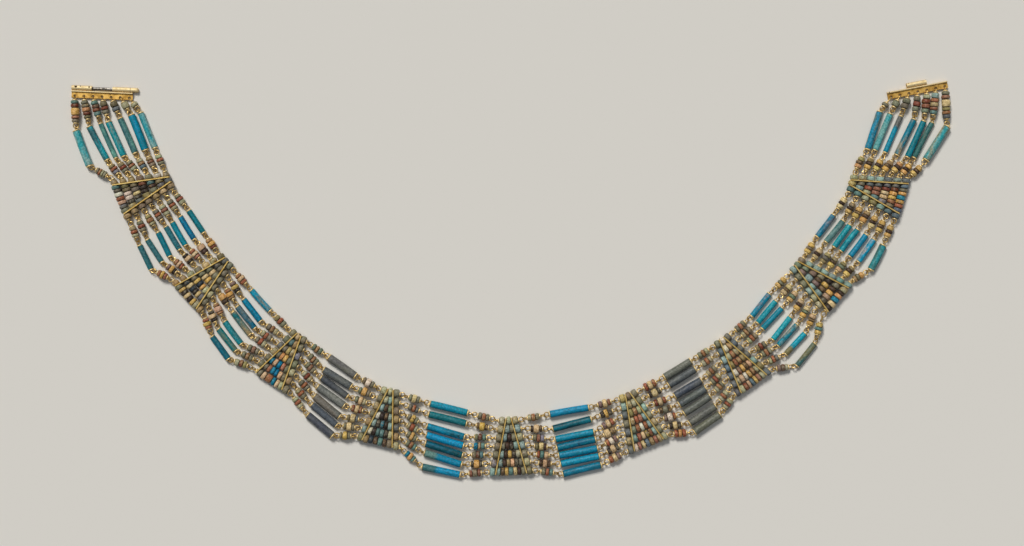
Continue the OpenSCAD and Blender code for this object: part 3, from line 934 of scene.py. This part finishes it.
for k, stations in strands.items():
    gather = newGather()
    at = 0
    for station in stations:
        if station["cluster"] is None:
            continue
        count = len(readChart(clusterText(k, station["cluster"])))
        members = strandBeads[k][at:at + count]
        at += count
        # the widest bead lies on the table
        station["centre"][2] = max(bead["radius"] for bead in members)
        for bead in members:
            bead["origin"][2] = station["centre"][2]
            addBead(gather, bead)
    makePiece(f"strand_{k}_rings", gather, ringFaience, "ring_faience", "collar", f"ring_beads_{k}")
for j in allPanels:
    gather = newGather()
    for k in allStrands:
        for bead in rowBeads[j, k]:
            addBead(gather, bead)
    makePiece(f"panel_{j}_beads", gather, ringFaience, "panel_faience", "collar", f"bead_panel_{j}")
onStrands, inPanels = (sum(map(len, lots.values())) for lots in (strandBeads, rowBeads))
print("ring beads laid,", onStrands, "on the strands,", inPanels, "in panels")


# Tube beads. wear is how much patina each mark gives, and a patch reaches endPatch of the length.

tubeLook = {
    "wave": 0.012, "lobes": (1, 2, 3), "twist": 4, "taper": 0.02, "fill": 0.985, "bow": 0.07,
    "wear": {"": 0.40, "+": 0.54, "-": 0.24, "<": 0.24, ">": 0.24},
    "rimReach": 0.035, "patchWear": 0.6, "patchFull": 1.6, "endPatch": 0.26,
}


def addTube(gather, tube, text):
    (code, _), (second, mark) = readChart(text)
    points = tubeShape["points"].copy()
    angle = np.arctan2(points[:, 2], points[:, 1])
    x = points[:, 0].copy()
    twist = (-tubeLook["twist"], tubeLook["twist"])
    wave = sum(
        random.normal(0, tubeLook["wave"] / n)
        * np.cos(n * angle + x * random.uniform(*twist) - random.uniform(*anyTurn))
        for n in tubeLook["lobes"]
    )
    taper = 1 + x * random.normal(0, tubeLook["taper"])
    points[:, 1:] *= (tube["radius"] * (tubeLook["fill"] + wave) * taper)[:, None]
    points[:, 0] *= 2 * tube["half"]
    points[:, 1] += random.normal(0, tubeLook["bow"]) * (1 - 4 * x * x)
    wear = tubeLook["wear"][mark]
    if mark in ("<", ">"):
        fromEnd = 0.5 + x if mark == "<" else 0.5 - x
        patch = np.clip(tubeLook["patchFull"] - fromEnd / tubeLook["endPatch"], 0, 1)
        wear = wear + tubeLook["patchWear"] * patch
    addCopy(
        gather, tubeShape, layAlong(points, tube["centre"], tube["axis"]),
        glaze=beadColour(code), patina=np.array(linearColour(glaze[second])),
        lay=points + random.uniform(0, beadLook["layRange"], 3),
        wear=wear, rim=rimOf(tubeShape, tubeLook["rimReach"]),
    )


for k in allStrands:
    gather = newGather()
    for s, tube in enumerate(tubes[k]):
        addTube(gather, tube, tubeChart[s + 1][k - 1])
    makePiece(f"strand_{k}_tubes", gather, tubeFaience, "tube_faience", "collar", f"tube_beads_{k}")
print("tube beads laid")


# Gold links: the wire through each bead, its two caps and the loops that hook the beads together

claspLook = {"loopMiddle": 1.03, "loopHalf": 0.8, "thin": 0.82}   # loops through the clasp's strand holes


def endOf(station, side):
    # the middle of the cap's dish at one end, and the way out of the bead there
    out = station["axis"] * side
    return faceOf(station, side) + out * capSize["dish"], out


def addLoop(gather, origin, heading, size, stretch, roll, thin=1.0):
    points = loop["points"] * [1, 1, thin]
    ray = points[:, :2] / np.linalg.norm(points[:, :2], axis=1)[:, None]
    points[:, :2] = ray * size + (points[:, :2] - ray * wire["loop"]) * thin
    points[:, 0] += stretch / 2 * np.clip(points[:, 0] / linkLook["endBend"], -1, 1) + size + stretch / 2
    addCopy(gather, loop, layAlong(points, origin, heading, roll), cap=0.0)


def addThread(gather, start, end):
    points = thread["points"] * [np.linalg.norm(end - start), 1, 1]
    addCopy(gather, thread, layAlong(points, (start + end) / 2, end - start), cap=0.0)


def addNeck(gather, station, side, length):
    # the cap on the bead and the wire that is wrapped round the neck out of it
    end, out = endOf(station, side)
    cap = capShape["points"] * [1, station["capRadius"], station["capRadius"]]
    cap = layAlong(cap, end - out * capSize["dish"], out, random.uniform(*anyTurn))
    # cap 1 marks the washer, which the gold paints paler as a painted highlight
    addCopy(gather, capShape, cap, cap=1.0)
    coil = wrap["points"] * [length, 1, 1] + [length / 2, 0, 0]
    coil = layAlong(coil, end, out, random.uniform(*anyTurn))
    addCopy(gather, wrap, coil, cap=0.0)


def addPair(gather, left, right):
    # two loops hooked into each other between neighbouring beads; returns the length of their necks
    (start, outStart), (end, outEnd) = endOf(left, 1), endOf(right, -1)
    taut = 4 * wire["loop"] - 2 * wire["radius"]
    neck = min(max((np.linalg.norm(end - start) - taut) / 2, linkLook["neckMin"]), linkLook["neckMax"])
    start, end = start + outStart * neck, end + outEnd * neck
    gap = np.linalg.norm(end - start)
    slack = 2 * wire["radius"] + linkLook["clear"]
    size = min(wire["loop"], (gap - slack) / 2)
    stretch = max(0.0, (gap - taut) / 2)
    lowest = min(start[2], end[2]) - wire["radius"] - linkLook["clear"]
    steep = math.degrees(math.asin(min(1.0, lowest / size)))
    roll = random.choice([-1, 1]) * (steep - random.uniform(0, linkLook["open"]))
    across = roll - 90 * np.sign(roll) + random.uniform(-linkLook["lean"], linkLook["lean"])
    rolls = random.permutation([roll, across])
    for origin, heading, turn in ((start, end - start, rolls[0]), (end, start - end, -rolls[1])):
        addLoop(gather, origin, heading, size, stretch, math.radians(turn))
    return neck


def addClaspLoop(gather, hole, station, side):
    # one upright loop through the strand hole and round the plate's edge, down to the bead
    end, out = endOf(station, side)
    neck = linkLook["neckMin"]
    start = end + out * neck
    far = np.array([hole[0], hole[1], claspLook["loopMiddle"]])
    length = np.linalg.norm(far - start)
    size = min(claspLook["loopHalf"], length / 2)
    addLoop(gather, start, far - start, size, max(0.0, length - 2 * size), math.pi / 2, claspLook["thin"])
    return neck


for k, stations in strands.items():
    gather = newGather()
    necks = [[0.0, 0.0] for _ in stations]
    necks[0][0] = addClaspLoop(gather, holes[k][0], stations[0], -1)
    necks[-1][1] = addClaspLoop(gather, holes[k][1], stations[-1], 1)
    for n in range(len(stations) - 1):
        necks[n][1] = necks[n + 1][0] = addPair(gather, stations[n], stations[n + 1])
    for station, (leftNeck, rightNeck) in zip(stations, necks):
        addNeck(gather, station, -1, leftNeck)
        addNeck(gather, station, 1, rightNeck)
        (left, outLeft), (right, outRight) = endOf(station, -1), endOf(station, 1)
        addThread(gather, left + outLeft * leftNeck, right + outRight * rightNeck)
    low = min(points[:, 2].min() for points in gather["points"])
    piece = makePiece(
        f"strand_{k}_links", gather, wireGold, "wire_gold", "collar", f"strand_wire_{k}", sharpFrom=40,
    )
    triangles = sum(len(p.vertices) - 2 for p in piece.data.polygons)
    print("links of strand", k, "made,", triangles, "triangles, lowest", round(low, 2))


# Clasp pin: two flat-backed silver wires side by side, bent out of one, under a round gold head

pinLook = {
    "radius": 0.6, "split": 0.2, "sides": 16, "tipBevel": 0.22, "tipSteps": 3,
    "headLength": 3.6, "headRadius": 1.1, "headSteps": 24,
}


def pinPlace():
    points = np.concatenate(islandsOf("clasp_pin"))
    axis = np.array(frame["joints"][0]["axis"])
    side = np.array([-axis[1], axis[0], 0.0])
    along = points @ axis
    line = side * middle(points @ side) + np.array([0, 0, middle(points[:, 2])])
    return axis, line, along.min(), along.max()


pinAxis, pinLine, pinTip, pinEnd = pinPlace()
pinNeck = pinEnd - pinLook["headLength"]


def pinWire(side):
    bm = bmesh.new()
    bmesh.ops.create_cone(
        bm, cap_ends=True, segments=pinLook["sides"], radius1=pinLook["radius"], radius2=pinLook["radius"],
        depth=pinNeck - pinTip, matrix=Matrix.Rotation(math.pi / 2, 4, "Y"),
    )
    tip = [edge for edge in bm.edges if all(vert.co.x < 0 for vert in edge.verts)]
    bmesh.ops.bevel(
        bm, geom=tip, offset=pinLook["tipBevel"], segments=pinLook["tipSteps"],
        affect="EDGES", profile=0.5, material=-1,
    )
    bmesh.ops.bisect_plane(
        bm, geom=list(bm.verts) + list(bm.edges) + list(bm.faces),
        plane_co=(0, side * pinLook["split"] / 2, 0), plane_no=(0, side, 0), clear_inner=True,
    )
    rims = [edge for edge in bm.edges if edge.is_boundary]
    bmesh.ops.holes_fill(bm, edges=rims, sides=0)
    return shapeOf(bm)


def headShape():
    # a small step at the neck, a straight side and a domed end
    out, length = pinLook["headRadius"], pinLook["headLength"]
    return turned(
        [
            (0.0, 0.01), (0.0, out - 0.28), (0.08, out - 0.1), (0.3, out),
            (length - 0.75, out), (length - 0.42, out - 0.06), (length - 0.16, out - 0.26),
            (length - 0.03, out - 0.58), (length, 0.01),
        ],
        pinLook["headSteps"],
    )


gather = newGather()
for side in (-1, 1):
    half = pinWire(side)
    addCopy(gather, half, layAlong(half["points"], pinLine + pinAxis * (pinTip + pinNeck) / 2, pinAxis))
makePiece("pin_wires", gather, pinSilver, "pin_bronze", "pin", "clasp_pin", sharpFrom=35)

gather = newGather()
head = headShape()
addCopy(gather, head, layAlong(head["points"], pinLine + pinAxis * pinNeck, pinAxis))
makePiece("pin_head", gather, sheetGold, "clasp_gold", "pin", sharpFrom=35)
print("clasp pin made")

for name, node in frame["nodes"].items():
    if not node.hide_render:
        node.data.materials.clear()
        node.data.materials.append(sheetGold if name.startswith("clasp") else stripGold)
print("clasp halves and bars dressed")


# Floor, light and camera, in metres but for the sensor

stageLook = {
    "floor": "#dfdeda", "floorHalf": 12, "sky": (0.9, 0.95, 1.0, 1), "skyPower": 0.10,
    "cameraHeight": 0.80, "lookAt": (0.000675, 0.00255, 0.002), "widthSeen": 0.4608, "sensor": 36.0,
    "clip": (0.01, 20),
}


def makeFloor():
    bm = bmesh.new()
    bmesh.ops.create_grid(bm, x_segments=1, y_segments=1, size=stageLook["floorHalf"])
    mesh = bpy.data.meshes.new("floor")
    bm.to_mesh(mesh)
    bm.free()
    floor = addObject("floor", mesh)
    material, tree, shader = newMaterial("palePaper")
    shader.inputs["Base Color"].default_value = linearColour(stageLook["floor"])
    shader.inputs["Roughness"].default_value = 0.85
    mesh.materials.append(material)


def softLight(name, towards, width, power, colour):
    # a softbox so far off that it lights the whole floor alike; width is how wide it looks, in degrees
    light = bpy.data.lights.new(name, "SUN")
    light.angle = math.radians(width)
    light.energy = power
    light.color = linearColour(colour)[:3]
    lamp = addObject(name, light)
    lamp.rotation_euler = Vector(towards).to_track_quat("Z", "Y").to_euler()


def softSky():
    world = bpy.data.worlds.new("softSky")
    world.use_nodes = True
    background = world.node_tree.nodes["Background"]
    background.inputs["Color"].default_value = stageLook["sky"]
    background.inputs["Strength"].default_value = stageLook["skyPower"]
    bpy.context.scene.world = world


def cameraAbove():
    x, y, z = stageLook["lookAt"]
    camera = bpy.data.cameras.new("camera")
    camera.sensor_width = stageLook["sensor"]
    camera.lens = (stageLook["cameraHeight"] - z) * stageLook["sensor"] / stageLook["widthSeen"]
    camera.clip_start, camera.clip_end = stageLook["clip"]
    cameraObject = addObject("camera", camera)
    cameraObject.location = (x, y, stageLook["cameraHeight"])
    bpy.context.scene.camera = cameraObject


makeFloor()
softLight("keyLight", towards=(-0.30, 0.70, 0.85), width=18, power=2.7, colour="#fffaf2")
softLight("topLight", towards=(0.05, 0.10, 1.5), width=60, power=0.32, colour="#ffffff")
softLight("fillLight", towards=(0.8, -0.4, 0.6), width=50, power=0.12, colour="#f2f6ff")
softSky()
cameraAbove()
bpy.context.scene.view_settings.view_transform = "Standard"
print("stage set")
